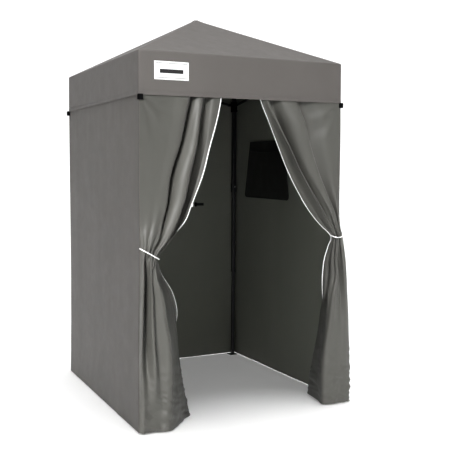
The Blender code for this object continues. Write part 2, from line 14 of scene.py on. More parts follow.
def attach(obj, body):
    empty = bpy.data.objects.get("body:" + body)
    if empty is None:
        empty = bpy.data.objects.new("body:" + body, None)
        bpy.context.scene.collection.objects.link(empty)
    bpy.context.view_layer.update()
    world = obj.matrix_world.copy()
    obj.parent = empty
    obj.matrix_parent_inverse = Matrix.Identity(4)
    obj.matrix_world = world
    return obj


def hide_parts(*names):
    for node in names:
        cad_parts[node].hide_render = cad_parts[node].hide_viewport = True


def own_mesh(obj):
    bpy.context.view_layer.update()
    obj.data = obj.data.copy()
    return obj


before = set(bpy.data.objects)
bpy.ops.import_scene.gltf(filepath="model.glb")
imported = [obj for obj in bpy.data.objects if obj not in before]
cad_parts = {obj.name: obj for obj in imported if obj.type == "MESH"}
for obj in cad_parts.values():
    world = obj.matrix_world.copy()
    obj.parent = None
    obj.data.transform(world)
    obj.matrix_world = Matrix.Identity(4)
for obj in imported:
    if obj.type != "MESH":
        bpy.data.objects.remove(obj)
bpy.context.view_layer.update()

# --- sizes (metres) ---
HALF = 0.610  # valance face from the centre plane
EAVE_Z = 1.924
VALANCE_Z = 1.706
PEAK_Z = 2.2165
PEAK_HALF = 0.018
HEM_Z = 0.004
WALL_TOP_Z = 1.905
EAVE_STRIP = 0.095  # this much of the roof folds with the eave
ROOF_FOLD = 0.220  # the square level where the roof folds above the rafters' knees
EAVE_ROUND = 0.005
CORNER_ROUND = 0.007
CLOTH = 0.0012
LEG = 0.588

CORNERS = ("front_left", "front_right", "back_right", "back_left")
SIDES = {  # name: (quarter turns from the front, leg it rides on)
    "front": (0, "front_left"),
    "right": (1, "front_right"),
    "back": (2, "back_right"),
    "left": (3, "back_left"),
}


# --- materials ---


def shader_material(name, colour, roughness, **settings):
    """A new material, its tree, its shader and its output; settings go straight on the shader's sockets."""
    material = bpy.data.materials.new(name)
    material.use_nodes = True
    tree = material.node_tree
    shader = tree.nodes["Principled BSDF"]
    shader.inputs["Base Color"].default_value = (*colour, 1.0)
    shader.inputs["Roughness"].default_value = roughness
    for socket, value in settings.items():
        shader.inputs[socket.replace("_", " ")].default_value = value
    material.diffuse_color = (*colour, 1.0)
    return material, tree, shader


def node(tree, kind, **settings):
    made = tree.nodes.new(kind)
    for key, value in settings.items():
        if hasattr(made, key):
            setattr(made, key, value)
        else:
            made.inputs[key.replace("_", " ")].default_value = value
    return made


def mapped(tree, source, scale):
    """source's coordinates, scaled."""
    mapping = node(tree, "ShaderNodeMapping", Scale=scale)
    tree.links.new(source, mapping.inputs["Vector"])
    return mapping.outputs["Vector"]


def noise_at(tree, vector, scale, detail, roughness=0.55):
    made = node(tree, "ShaderNodeTexNoise", Scale=scale, Detail=detail, Roughness=roughness)
    tree.links.new(vector, made.inputs["Vector"])
    return made.outputs["Fac"]


def maths(tree, operation, a, b):
    made = node(tree, "ShaderNodeMath", operation=operation)
    for socket, value in zip(made.inputs, (a, b)):
        if isinstance(value, (int, float)):
            socket.default_value = value
        else:
            tree.links.new(value, socket)
    return made.outputs[0]


def between(tree, factor, low, high, low_at=0.3, high_at=0.7):
    """A colour or grey that goes from low to high as factor goes from low_at to high_at."""
    ramp = node(tree, "ShaderNodeValToRGB")
    for stop, position, value in zip(ramp.color_ramp.elements, (low_at, high_at), (low, high)):
        stop.position = position
        stop.color = (*value, 1.0) if isinstance(value, tuple) else (value, value, value, 1.0)
    tree.links.new(factor, ramp.inputs["Fac"])
    return ramp.outputs["Color"]


def bumped(tree, shader, heights):
    """Stacks (height, strength, distance) bumps into the shader's normal."""
    normal = None
    for height, strength, distance in heights:
        bump = node(tree, "ShaderNodeBump", Strength=strength, Distance=distance)
        tree.links.new(height, bump.inputs["Height"])
        if normal:
            tree.links.new(normal, bump.inputs["Normal"])
        normal = bump.outputs["Normal"]
    tree.links.new(normal, shader.inputs["Normal"])


def woven(name, colour, roughness=0.5, sheen=0.12, crinkle=0.35, pitch=0.0011, variation=0.05, stretch=(1, 1, 0.45), specular=0.42, **settings):
    """Coated polyester: a fine plain weave, faint shade variation, soft crinkles and rubbed, duller patches."""
    material, tree, shader = shader_material(
        name, colour, roughness, Sheen_Weight=sheen, Sheen_Roughness=0.45, Specular_IOR_Level=specular, **settings
    )
    place = node(tree, "ShaderNodeTexCoord").outputs["Object"]
    cloth = node(tree, "ShaderNodeUVMap", uv_map="cloth").outputs["UV"]
    soft = noise_at(tree, mapped(tree, place, stretch), 3.2, 3.0)
    cloudy = noise_at(tree, mapped(tree, place, (1, 1, 1)), 14.0, 5.0, 0.6)
    blend = maths(tree, "ADD", maths(tree, "MULTIPLY", soft, 0.65), maths(tree, "MULTIPLY", cloudy, 0.35))
    dark = tuple(c * (1 - variation) for c in colour)
    light = tuple(min(1.0, c * (1 + variation)) for c in colour)
    tree.links.new(between(tree, blend, dark, light), shader.inputs["Base Color"])
    tree.links.new(between(tree, cloudy, roughness - 0.05, roughness + 0.08), shader.inputs["Roughness"])
    threads = []
    for direction in ("X", "Y"):
        wave = node(tree, "ShaderNodeTexWave", bands_direction=direction, Scale=1.0 / (pitch * 6.2832) * 3.1416 / 10)
        tree.links.new(mapped(tree, cloth, (1, 1, 1)), wave.inputs["Vector"])
        threads.append(wave.outputs["Fac"])
    weave = maths(tree, "MULTIPLY", threads[0], threads[1])
    crinkles = noise_at(tree, mapped(tree, place, stretch), 26.0, 7.0, 0.62)
    broad = noise_at(tree, mapped(tree, place, stretch), 7.0, 3.0)
    bumped(tree, shader, [(broad, crinkle, 0.006), (crinkles, crinkle * 0.8, 0.0012), (weave, 0.12, 0.0002)])
    return material


def coated_metal(name, colour, roughness, scratch, metallic=0.0, grain=420.0, coat=0.0, specular=0.5):
    """Powder-coated or plated steel: fine orange peel and faint rubbing marks along the part."""
    material, tree, shader = shader_material(name, colour, roughness, Metallic=metallic, Coat_Weight=coat, Coat_Roughness=0.3, Specular_IOR_Level=specular)
    place = node(tree, "ShaderNodeTexCoord").outputs["Object"]
    peel = noise_at(tree, mapped(tree, place, (1, 1, 1)), grain, 3.0)
    rubbed = noise_at(tree, mapped(tree, place, (1, 1, 0.06)), 60.0, 6.0, 0.7)
    worn = tuple(min(1.0, c * 1.9 + 0.004) for c in colour)
    tree.links.new(between(tree, rubbed, colour, worn, 0.52, 0.86), shader.inputs["Base Color"])
    tree.links.new(between(tree, rubbed, roughness - 0.06, roughness + 0.12), shader.inputs["Roughness"])
    bumped(tree, shader, [(peel, scratch, 0.0003)])
    return material


CANOPY_CLOTH = woven("canopy_polyester", (0.108, 0.100, 0.094), 0.55, crinkle=0.12)
WALL_OUTSIDE = woven("wall_polyester_outside", (0.103, 0.096, 0.088), 0.60, crinkle=0.12)
# The walls' inside face is the same cloth as the outside, painted about twice as light: painted light that stands in
# for light the inside of the tent lacks.
WALL_INSIDE_PAINTED_LIGHTER = woven("wall_polyester_inside_painted_lighter", (0.208, 0.214, 0.184), 0.60, crinkle=0.12)
CURTAIN_CLOTH = woven("curtain_satin_polyester", (0.084, 0.083, 0.075), 0.50, sheen=0.08, crinkle=0.40, specular=0.40)
CURTAIN_BACK = woven("curtain_satin_back", (0.095, 0.096, 0.085), 0.50, crinkle=0.30)
POCKET_CLOTH = woven("pocket_black_polyester", (0.016, 0.016, 0.014), 0.62, sheen=0.05, crinkle=0.30, variation=0.25)
BINDING = woven("white_binding_tape", (0.86, 0.86, 0.85), 0.62, crinkle=0.10, pitch=0.0007, variation=0.03)
CORD_COVER = woven("white_braided_cord", (0.84, 0.84, 0.83), 0.66, crinkle=0.20, pitch=0.0016, variation=0.04)
WEBBING = woven("black_webbing", (0.012, 0.012, 0.012), 0.60, sheen=0.05, crinkle=0.20, pitch=0.0014, variation=0.2)
THREAD = woven("sewing_thread", (0.085, 0.080, 0.074), 0.55, crinkle=0.2, pitch=0.0004)
PATCH_WHITE = woven("patch_white", (0.88, 0.88, 0.88), 0.50, sheen=0.05, crinkle=0.04, pitch=0.0006, variation=0.015)
PATCH_INK = woven("patch_dark_print", (0.012, 0.012, 0.012), 0.48, sheen=0.05, crinkle=0.04, pitch=0.0006, variation=0.15)
BLACK_TUBE = coated_metal("black_powder_coat", (0.012, 0.012, 0.013), 0.42, 0.18, metallic=0.15, coat=0.15)
BLACK_BAR = coated_metal("black_flat_bar", (0.015, 0.015, 0.016), 0.46, 0.22, metallic=0.15, grain=520.0)
BLACK_MOULDED = coated_metal("black_moulded_nylon", (0.004, 0.004, 0.0045), 0.70, 0.08, grain=900.0, specular=0.05)
BUTTON_STEEL = coated_metal("button_steel", (0.45, 0.45, 0.46), 0.30, 0.08, metallic=1.0, grain=700.0)

for name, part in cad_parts.items():
    if name.startswith(("bar_", "rafter_")):
        finish = BLACK_BAR
    elif name.startswith("leg_button"):
        finish = BUTTON_STEEL
    elif name.startswith(("top_bracket", "slider", "hub")):
        finish = BLACK_MOULDED
    elif name == "peak_cap":
        finish = CANOPY_CLOTH
    else:
        finish = BLACK_TUBE
    part.data.materials.clear()
    part.data.materials.append(finish)


# --- curves and grids ---


def hermite(knots, values, at):
    """A smooth curve through values (one row each) at rising knots, sampled at the parameters at."""
    knots, values, at = np.asarray(knots, float), np.asarray(values, float), np.asarray(at, float)
    gaps = np.diff(knots)[:, None]
    slopes = np.diff(values, axis=0) / gaps
    tangents = np.empty_like(values)
    tangents[1:-1] = (slopes[:-1] * gaps[1:] + slopes[1:] * gaps[:-1]) / (gaps[1:] + gaps[:-1])
    tangents[0], tangents[-1] = slopes[0], slopes[-1]
    i = np.clip(np.searchsorted(knots, at, side="right") - 1, 0, len(knots) - 2)
    t = ((at - knots[i]) / (knots[i + 1] - knots[i]))[:, None]
    g = gaps[i]
    return (
        (2 * t**3 - 3 * t**2 + 1) * values[i]
        + (t**3 - 2 * t**2 + t) * g * tangents[i]
        + (3 * t**2 - 2 * t**3) * values[i + 1]
        + (t**3 - t**2) * g * tangents[i + 1]
    )


def across(points, per_gap):
    """A smooth row through points, with per_gap samples between neighbours."""
    points = np.asarray(points, float)
    knots = np.concatenate([[0], np.cumsum(np.maximum(np.linalg.norm(np.diff(points, axis=0), axis=1), 1e-4))])
    at = np.concatenate([np.linspace(a, b, per_gap, endpoint=False) for a, b in zip(knots, knots[1:])] + [[knots[-1]]])
    return hermite(knots, points, at)


def bend_noise(x, y, z, seed=0.0):
    """Smooth noise about 0, from -0.5 to 0.5."""
    return 0.5 * noise.noise(Vector((x + 17.3 * seed, y - 9.1 * seed, z + 3.7 * seed)))


def normals_of(grid):
    """Unit normals of a grid of points, rows by columns."""
    down = np.gradient(grid, axis=0)
    along = np.gradient(grid, axis=1)
    n = np.cross(down, along)
    return n / np.maximum(np.linalg.norm(n, axis=2, keepdims=True), 1e-9)


def link(name, vertices, faces, materials, face_slots=None, uvs=None, sharp=60.0):
    """A smooth-shaded mesh object; uvs is one (u, v) per vertex, in metres of cloth."""
    mesh = bpy.data.meshes.new(name)
    mesh.from_pydata([tuple(map(float, v)) for v in vertices], [], [tuple(map(int, f)) for f in faces])
    for material in materials:
        mesh.materials.append(material)
    if face_slots is not None:
        mesh.polygons.foreach_set("material_index", np.asarray(face_slots, np.int32))
    layer = mesh.uv_layers.new(name="cloth")
    if uvs is not None:
        loops = np.zeros(len(mesh.loops), np.int32)
        mesh.loops.foreach_get("vertex_index", loops)
        layer.data.foreach_set("uv", np.asarray(uvs, np.float32)[loops].ravel())
    mesh.polygons.foreach_set("use_smooth", np.ones(len(mesh.polygons), bool))
    mesh.set_sharp_from_angle(angle=math.radians(sharp))
    mesh.update()
    made = bpy.data.objects.new(name, mesh)
    bpy.context.scene.collection.objects.link(made)
    return made


def cloth_sheet(name, grid, outside, inside=None, thickness=CLOTH, flip=False):
    """A thin closed sheet about a grid of points; the outside is the side that normals_of points to, unless flipped."""
    grid = np.asarray(grid, float)
    rows, columns = grid.shape[:2]
    normal = normals_of(grid) * (-1 if flip else 1)
    front, back = grid + normal * thickness / 2, grid - normal * thickness / 2
    vertices = np.concatenate([front.reshape(-1, 3), back.reshape(-1, 3)])
    index = np.arange(rows * columns).reshape(rows, columns)
    a, b, c, d = (q.ravel() for q in (index[:-1, :-1], index[:-1, 1:], index[1:, 1:], index[1:, :-1]))
    quads = np.stack([a, d, c, b] if not flip else [a, b, c, d], axis=1)
    shift = rows * columns
    others = quads[:, ::-1] + shift
    border = np.concatenate([index[0, :], index[1:, -1], index[-1, -2::-1], index[-2:0:-1, 0]])
    after = np.roll(border, -1)
    rim = np.stack([border, after, after + shift, border + shift], axis=1)
    if flip:
        rim = rim[:, ::-1]
    faces = np.concatenate([quads, others, rim])
    slots = np.concatenate([np.zeros(len(quads)), np.ones(len(others)), np.zeros(len(rim))])
    u = np.concatenate([np.zeros((rows, 1)), np.cumsum(np.linalg.norm(np.diff(grid, axis=1), axis=2), axis=1)], axis=1)
    v = np.concatenate([np.zeros((1, columns)), np.cumsum(np.linalg.norm(np.diff(grid, axis=0), axis=2), axis=0)])
    flat = np.stack([u.ravel(), v.ravel()], axis=1)
    return link(name, vertices, faces, [outside, inside or outside], slots, np.concatenate([flat, flat]))


def tube(name, path, radii, material, steps=12, up=(0, 0, 1), sides=None):
    """A closed tube along path; radii is (across, thick), and sides gives the across direction at each point."""
    path = np.asarray(path, float)
    along = np.gradient(path, axis=0)
    along /= np.linalg.norm(along, axis=1, keepdims=True)
    if sides is None:
        sides = np.cross(along, np.broadcast_to(np.asarray(up, float), along.shape))
    sides = sides - along * (sides * along).sum(1, keepdims=True)
    sides /= np.maximum(np.linalg.norm(sides, axis=1, keepdims=True), 1e-9)
    tops = np.cross(sides, along)
    turn = np.linspace(0, 2 * math.pi, steps, endpoint=False)
    rings = (
        path[:, None]
        + radii[0] * np.cos(turn)[None, :, None] * sides[:, None]
        + radii[1] * np.sin(turn)[None, :, None] * tops[:, None]
    )
    count = len(path)
    run = np.concatenate([[0], np.cumsum(np.linalg.norm(np.diff(path, axis=0), axis=1))])
    uvs = [(radii[0] * t, s) for s in run for t in turn] + [(0, 0), (0, run[-1])]
    faces = []
    for i in range(count - 1):
        for j in range(steps):
            k = (j + 1) % steps
            faces.append((i * steps + j, (i + 1) * steps + j, (i + 1) * steps + k, i * steps + k))
    first, last = count * steps, count * steps + 1
    for j in range(steps):
        k = (j + 1) % steps
        faces.append((first, j, k))
        faces.append((last, (count - 1) * steps + k, (count - 1) * steps + j))
    vertices = np.concatenate([rings.reshape(-1, 3), path[:1], path[-1:]])
    return link(name, vertices, faces, [material], uvs=uvs, sharp=75.0)


def turned(points, quarters):
    """Points turned by quarter turns about Z: 0 is the front, 1 the right, 2 the back, 3 the left."""
    points = np.array(points, float)
    for _ in range(quarters % 4):
        points = np.stack([-points[..., 1], points[..., 0], points[..., 2]], axis=-1)
    return points


def folds_to(piece, leg):
    """piece rides on a leg, with a mesh of its own."""
    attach(piece, "leg_" + leg)
    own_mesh(piece)
    return piece


# --- roof and valance: one continuous cover, cut where it folds ---


def ring(half, radius, count):
    """The front quarter of a rounded square, corner middle to corner middle, left to right."""
    radius = min(radius, half * 0.45)
    inner = half - radius
    arc = np.linspace(0, math.pi / 4, 5)
    left = [(-inner - radius * math.sin(a), -inner - radius * math.cos(a)) for a in arc[::-1]]
    straight = [(x, -half) for x in np.linspace(-inner, inner, count)[1:-1]]
    right = [(inner + radius * math.sin(a), -inner - radius * math.cos(a)) for a in arc]
    return np.array(left + straight + right)


def roof_z(half, side):
    """Height of the roof at a square level; side is 0 at the middle of a side and 1 at the hip, where it doesn't sag."""
    level = (HALF - half) / (HALF - PEAK_HALF)
    sag = 0.011 * np.sin(math.pi * level) * (1 - side**2)
    return EAVE_Z + (PEAK_Z - EAVE_Z) * level - sag


def sway(along, level, turn):
    """Slow waves of the valance, in metres outwards; none at the corners."""
    pinned = 1 - (along / HALF) ** 8
    return (0.0032 * bend_noise(along * 3.0, level * 1.2, turn * 2.0, 1) + 0.0012 * bend_noise(along * 9.0, level * 3.0, turn * 2.0, 2)) * pinned


def eave_side(name, quarters, leg):
    rows = []
    count = 70
    for inset in np.concatenate([np.linspace(EAVE_STRIP, 0.012, 8), [0.008, EAVE_ROUND]]):
        flat = ring(HALF - inset, CORNER_ROUND, count)
        rows.append([(x, y, roof_z(HALF - inset, min(1.0, abs(x) / (HALF - inset)))) for x, y in flat])
    for angle in (20, 42, 64, 86):
        a = math.radians(angle)
        inset, z = EAVE_ROUND * (1 - math.sin(a)), EAVE_Z - EAVE_ROUND * (1 - math.cos(a)) + 0.001
        rows.append([(x, y, z) for x, y in ring(HALF - inset, CORNER_ROUND, count)])
    top = EAVE_Z - EAVE_ROUND
    for z in np.concatenate([np.linspace(top - 0.008, VALANCE_Z + 0.020, 12), [VALANCE_Z + 0.012, VALANCE_Z + 0.004, VALANCE_Z]]):
        down = (top - z) / (top - VALANCE_Z)
        row = []
        for x, y in ring(HALF + 0.0015 * down, CORNER_ROUND, count):
            row.append((x, y - sway(x, z, quarters) * down - (0.0008 if z < VALANCE_Z + 0.015 else 0.0), z))
        rows.append(row)
    piece = cloth_sheet(name, turned(rows, quarters), CANOPY_CLOTH, flip=True)
    return piece


def roof_quarter(name, quarters, halves):
    """A part of the roof about one hip, between square levels: from the middle of the front side round the left corner to the middle of the left side."""
    rows = []
    for half in halves:
        radius = min(CORNER_ROUND + 0.012 * (1 - half / HALF), half * 0.45)
        inner = half - radius
        line = [(x, -half) for x in np.linspace(0, -inner, 24)[:-1]]
        line += [(-inner - radius * math.sin(a), -inner - radius * math.cos(a)) for a in np.linspace(0, math.pi / 2, 7)]
        line += [(-half, y) for y in np.linspace(-inner, 0, 24)[1:]]
        rows.append([(x, y, roof_z(half, min(1.0, min(abs(x), abs(y)) / half))) for x, y in line])
    return cloth_sheet(name, turned(rows, quarters), CANOPY_CLOTH, flip=False)


for side, (quarters, leg) in SIDES.items():
    piece = eave_side("cover_eave_" + side, quarters, leg)
    folds_to(piece, leg)
ROOF_PARTS = {  # name: (square levels, the rafter bar it rides on, its flat size)
    "outer": (np.linspace(HALF - EAVE_STRIP + 0.0015, ROOF_FOLD, 18), "rafter_outer_", (0.73, 0.57)),
    "inner": (np.concatenate([np.linspace(ROOF_FOLD + 0.0015, 0.06, 14), [0.045, 0.032, PEAK_HALF]]), "rafter_inner_", (0.31, 0.33)),
}
for quarters, corner in enumerate(CORNERS):
    for part, (halves, bar, flat) in ROOF_PARTS.items():
        piece = roof_quarter("cover_roof_" + part + "_" + corner, quarters, halves)
        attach(piece, bar + corner)
        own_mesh(piece)
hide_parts("canopy")


# --- door curtains ---

# Each row of a curtain: height at the corner seam, height at the free edge, then (x, y) of its folds in order.
LEFT_ROWS = [
    (1.880, 1.880, [(-0.600, -0.604), (-0.505, -0.602), (-0.410, -0.602), (-0.340, -0.601), (-0.315, -0.592), (-0.283, -0.604), (-0.258, -0.600), (-0.222, -0.589), (-0.180, -0.602), (-0.128, -0.601)]),
    (1.722, 1.722, [(-0.605, -0.607), (-0.510, -0.606), (-0.415, -0.605), (-0.330, -0.606), (-0.304, -0.572), (-0.282, -0.600), (-0.256, -0.606), (-0.218, -0.568), (-0.196, -0.602), (-0.143, -0.604)]),
    (1.600, 1.600, [(-0.606, -0.609), (-0.520, -0.611), (-0.435, -0.613), (-0.354, -0.615), (-0.333, -0.566), (-0.314, -0.606), (-0.282, -0.626), (-0.242, -0.562), (-0.212, -0.602), (-0.169, -0.606)]),
    (1.450, 1.450, [(-0.606, -0.609), (-0.535, -0.612), (-0.465, -0.616), (-0.394, -0.619), (-0.374, -0.562), (-0.357, -0.606), (-0.310, -0.640), (-0.262, -0.558), (-0.238, -0.588), (-0.213, -0.606)]),
    (1.310, 1.310, [(-0.606, -0.609), (-0.550, -0.613), (-0.495, -0.617), (-0.442, -0.621), (-0.420, -0.562), (-0.408, -0.606), (-0.349, -0.646), (-0.292, -0.558), (-0.273, -0.584), (-0.251, -0.604)]),
    (1.160, 1.160, [(-0.606, -0.610), (-0.565, -0.615), (-0.515, -0.621), (-0.468, -0.625), (-0.450, -0.570), (-0.440, -0.612), (-0.386, -0.650), (-0.334, -0.566), (-0.325, -0.588), (-0.315, -0.606)]),
    (1.060, 1.058, [(-0.606, -0.611), (-0.578, -0.619), (-0.537, -0.628), (-0.497, -0.629), (-0.483, -0.584), (-0.475, -0.622), (-0.428, -0.652), (-0.390, -0.588), (-0.380, -0.602), (-0.367, -0.612)]),
    (0.996, 0.972, [(-0.606, -0.612), (-0.589, -0.627), (-0.558, -0.639), (-0.519, -0.638), (-0.508, -0.606), (-0.501, -0.634), (-0.476, -0.650), (-0.460, -0.614), (-0.451, -0.622), (-0.452, -0.603)]),
    (0.940, 0.888, [(-0.605, -0.613), (-0.594, -0.633), (-0.574, -0.643), (-0.557, -0.638), (-0.546, -0.624), (-0.540, -0.642), (-0.530, -0.643), (-0.524, -0.632), (-0.521, -0.622), (-0.525, -0.612)]),
    (0.882, 0.846, [(-0.607, -0.614), (-0.602, -0.645), (-0.580, -0.622), (-0.569, -0.656), (-0.557, -0.657), (-0.545, -0.653), (-0.533, -0.642), (-0.516, -0.610), (-0.504, -0.592), (-0.494, -0.578)]),
    (0.812, 0.800, [(-0.610, -0.616), (-0.606, -0.658), (-0.578, -0.618), (-0.570, -0.668), (-0.560, -0.655), (-0.543, -0.672), (-0.533, -0.652), (-0.494, -0.592), (-0.480, -0.570), (-0.466, -0.550)]),
    (0.700, 0.692, [(-0.612, -0.616), (-0.610, -0.661), (-0.580, -0.616), (-0.564, -0.673), (-0.550, -0.653), (-0.512, -0.680), (-0.500, -0.664), (-0.434, -0.566), (-0.410, -0.540), (-0.388, -0.518)]),
    (0.570, 0.560, [(-0.614, -0.617), (-0.614, -0.662), (-0.583, -0.616), (-0.560, -0.675), (-0.544, -0.653), (-0.491, -0.681), (-0.480, -0.666), (-0.398, -0.548), (-0.372, -0.518), (-0.349, -0.494)]),
    (0.480, 0.470, [(-0.616, -0.618), (-0.616, -0.662), (-0.583, -0.620), (-0.556, -0.676), (-0.538, -0.654), (-0.474, -0.681), (-0.463, -0.666), (-0.373, -0.530), (-0.352, -0.502), (-0.366, -0.492)]),
    (0.365, 0.355, [(-0.618, -0.620), (-0.618, -0.661), (-0.584, -0.632), (-0.549, -0.677), (-0.528, -0.656), (-0.463, -0.681), (-0.453, -0.667), (-0.352, -0.512), (-0.332, -0.484), (-0.398, -0.505)]),
    (0.240, 0.230, [(-0.621, -0.626), (-0.612, -0.663), (-0.583, -0.657), (-0.548, -0.678), (-0.518, -0.668), (-0.462, -0.681), (-0.452, -0.667), (-0.336, -0.512), (-0.312, -0.480), (-0.405, -0.515)]),
    (0.120, 0.115, [(-0.624, -0.634), (-0.610, -0.663), (-0.585, -0.660), (-0.548, -0.661), (-0.510, -0.665), (-0.466, -0.677), (-0.453, -0.668), (-0.322, -0.515), (-0.292, -0.480), (-0.405, -0.530)]),
    (0.005, 0.005, [(-0.627, -0.641), (-0.610, -0.665), (-0.585, -0.662), (-0.550, -0.664), (-0.514, -0.668), (-0.470, -0.677), (-0.456, -0.669), (-0.304, -0.520), (-0.266, -0.480), (-0.400, -0.540)]),
]
RIGHT_ROWS = [
    (1.880, 1.880, [(0.600, -0.604), (0.460, -0.602), (0.350, -0.595), (0.300, -0.602), (0.220, -0.602), (0.160, -0.590), (0.112, -0.604), (0.098, -0.599), (0.075, -0.602)]),
    (1.722, 1.722, [(0.605, -0.607), (0.463, -0.605), (0.350, -0.582), (0.306, -0.606), (0.222, -0.603), (0.172, -0.568), (0.126, -0.604), (0.106, -0.590), (0.085, -0.604)]),
    (1.580, 1.580, [(0.607, -0.609), (0.503, -0.613), (0.398, -0.584), (0.356, -0.632), (0.272, -0.624), (0.232, -0.562), (0.186, -0.626), (0.167, -0.592), (0.146, -0.608)]),
    (1.460, 1.460, [(0.608, -0.609), (0.512, -0.616), (0.422, -0.584), (0.389, -0.642), (0.318, -0.632), (0.286, -0.560), (0.254, -0.638), (0.234, -0.586), (0.200, -0.610)]),
    (1.340, 1.340, [(0.608, -0.609), (0.540, -0.618), (0.466, -0.586), (0.429, -0.646), (0.370, -0.638), (0.345, -0.564), (0.318, -0.640), (0.295, -0.586), (0.257, -0.610)]),
    (1.210, 1.210, [(0.608, -0.609), (0.574, -0.622), (0.523, -0.592), (0.490, -0.648), (0.450, -0.644), (0.427, -0.572), (0.403, -0.641), (0.374, -0.588), (0.332, -0.612)]),
    (1.090, 1.090, [(0.609, -0.610), (0.596, -0.630), (0.572, -0.606), (0.549, -0.651), (0.522, -0.648), (0.504, -0.590), (0.486, -0.644), (0.462, -0.596), (0.417, -0.615)]),
    (1.022, 1.020, [(0.610, -0.611), (0.602, -0.633), (0.585, -0.620), (0.568, -0.651), (0.550, -0.648), (0.540, -0.608), (0.525, -0.642), (0.513, -0.606), (0.485, -0.617)]),
    (0.978, 0.966, [(0.611, -0.612), (0.608, -0.637), (0.591, -0.644), (0.579, -0.653), (0.569, -0.651), (0.561, -0.640), (0.556, -0.642), (0.552, -0.632), (0.547, -0.620)]),
    (0.906, 0.900, [(0.613, -0.613), (0.613, -0.653), (0.589, -0.667), (0.577, -0.640), (0.562, -0.665), (0.549, -0.662), (0.543, -0.648), (0.541, -0.630), (0.538, -0.610)]),
    (0.840, 0.836, [(0.615, -0.614), (0.625, -0.656), (0.594, -0.674), (0.577, -0.642), (0.560, -0.669), (0.541, -0.665), (0.535, -0.640), (0.530, -0.616), (0.525, -0.598)]),
    (0.750, 0.748, [(0.617, -0.614), (0.636, -0.656), (0.605, -0.675), (0.588, -0.646), (0.568, -0.673), (0.545, -0.669), (0.535, -0.636), (0.527, -0.610), (0.519, -0.590)]),
    (0.640, 0.636, [(0.619, -0.615), (0.644, -0.656), (0.613, -0.677), (0.594, -0.656), (0.560, -0.677), (0.521, -0.672), (0.520, -0.640), (0.521, -0.608), (0.523, -0.586)]),
    (0.530, 0.526, [(0.621, -0.616), (0.653, -0.656), (0.617, -0.678), (0.594, -0.664), (0.550, -0.679), (0.509, -0.672), (0.518, -0.636), (0.548, -0.540), (0.545, -0.575)]),
    (0.385, 0.380, [(0.625, -0.618), (0.662, -0.656), (0.622, -0.679), (0.590, -0.676), (0.540, -0.681), (0.490, -0.672), (0.514, -0.612), (0.573, -0.478), (0.560, -0.530)]),
    (0.255, 0.250, [(0.630, -0.624), (0.668, -0.659), (0.627, -0.681), (0.590, -0.681), (0.540, -0.681), (0.480, -0.671), (0.510, -0.585), (0.562, -0.458), (0.556, -0.510)]),
    (0.125, 0.120, [(0.636, -0.632), (0.668, -0.662), (0.633, -0.672), (0.595, -0.673), (0.545, -0.674), (0.483, -0.666), (0.503, -0.585), (0.542, -0.452), (0.540, -0.510)]),
    (0.005, 0.005, [(0.640, -0.640), (0.669, -0.664), (0.638, -0.671), (0.598, -0.672), (0.548, -0.672), (0.490, -0.658), (0.504, -0.575), (0.527, -0.450), (0.530, -0.505)]),
]
TIE_Z = {"left": 0.915, "right": 0.970}
PER_FOLD = 12
CURTAIN_STEPS = 230


def pleats(share, height, tie, seed):
    """Fine gathers that run into the tie: how far the cloth stands out, in metres."""
    away = abs(height - tie)
    reach = 0.06 + 0.30 * share if height > tie else 0.12 + 0.05 * share
    uneven = bend_noise(share * 5.0, 0, height * 0.7, seed)
    fine = math.sin(2 * math.pi * (9.0 * share + 1.1 * uneven)) * (0.8 + 1.6 * bend_noise(share * 8.0, 0, 0, seed + 3))
    long = math.sin(2 * math.pi * (6.5 * share + 0.4 * uneven + 0.13 * seed)) * min(1.0, max(0.0, share - 0.38) * 4)
    fade = math.sin(math.pi * min(1.0, max(0.0, share))) ** 0.5
    strength = math.exp(-((away / reach) ** 1.3))
    return (0.0095 * fine * strength + 0.0070 * long * math.exp(-((away / 0.62) ** 2))) * fade


def crumples(x, y, z, share, seed):
    """Small creases: broad soft ones everywhere, sharper slanting ones towards the hem and out of the valance's corner."""
    low = max(0.0, 1 - z / 0.42)
    corner = math.hypot(0.6 - abs(x), 1.0 * (1.70 - z))
    spread = math.atan2(1.70 - z, max(0.6 - abs(x), 1e-3))
    rays = math.exp(-((corner / 0.22) ** 2)) * min(1.0, corner / 0.03)
    soft = 0.0055 * bend_noise(x * 7, y * 3, z * 2.6, seed) + 0.0026 * bend_noise(x * 17, y * 4, z * 8, seed + 1)
    slant = bend_noise((0.90 * x - 0.42 * z) * 9, y * 3, (0.42 * x + 0.90 * z) * 40, seed + 2)
    fine = bend_noise(x * 38, y * 8, z * 46, seed + 3)
    return soft + low * (0.0330 * (abs(slant) - 0.12) + 0.0060 * fine) + rays * 0.0050 * math.sin(9 * spread + seed + 3 * bend_noise(x * 9, 0, z * 9, seed))


def front_limit(z):
    """How far forward the curtain may stand: behind the valance at its top, free below."""
    return -0.6060 - 0.0755 * min(1.0, max(0.0, (1.706 - z) / 0.10))


